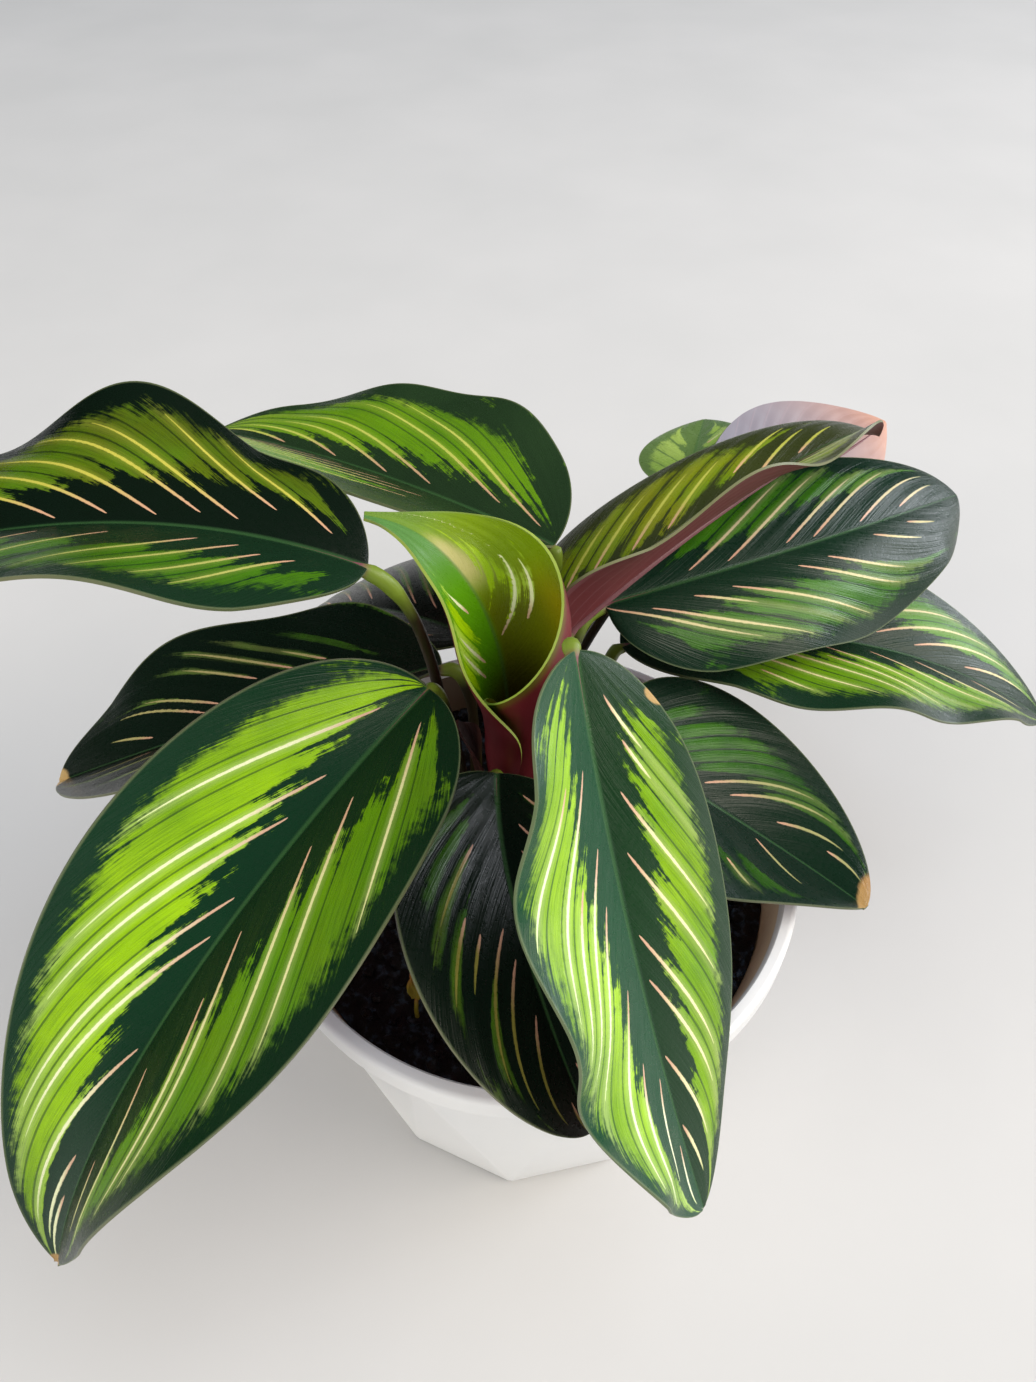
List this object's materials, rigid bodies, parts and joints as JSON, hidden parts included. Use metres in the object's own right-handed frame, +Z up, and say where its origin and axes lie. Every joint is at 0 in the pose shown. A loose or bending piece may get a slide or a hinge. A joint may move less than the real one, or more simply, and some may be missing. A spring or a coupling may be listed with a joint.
{
  "type": "potted calathea",
  "caption": "Potted foliage plant: broad feathered leaves on thin stalks round a rolled new leaf, in a small faceted plastic pot filled with soil.",
  "frame": {"origin": "centre of the pot's flat base, on the surface it stands on", "axes": "+Z up; the plant's front, where a leaf hangs over the rim, is at -Y, and +X is its right"},
  "size_m": [0.3165, 0.2596, 0.2127],
  "materials": {
    "pot_plastic": "white moulded polypropylene, satin gloss",
    "potting_mix": "damp peat and bark chips, matt",
    "leaf": "living leaf: waxy satin top with lime bands and cream strokes, purple underside",
    "young_leaf": "new leaf: satin yellow-green inside, purple-red outside",
    "sheath": "leaf sheath: purple with an olive margin, satin",
    "dry_bract": "dry bract: tan, papery, matt"
  },
  "bodies": {
    "root": {"pot": "pot_plastic", "soil": "potting_mix", "leaf_front_left": "leaf", "leaf_front_hanging": "leaf", "leaf_front_low": "leaf", "leaf_upper_left": "leaf", "leaf_back_centre": "leaf", "leaf_right_folded": "leaf", "leaf_right_large": "leaf", "leaf_right_under": "leaf", "leaf_right_low": "leaf", "leaf_left_low": "leaf", "leaf_back_right": "leaf", "leaf_back_small": "leaf", "leaf_left_middle": "leaf", "leaf_back_left": "leaf", "new_leaf_rolled": "young_leaf", "rolled_sheath": "sheath", "crown_bract": "leaf", "dry_bract": "dry_bract"}
  },
  "joints": []
}
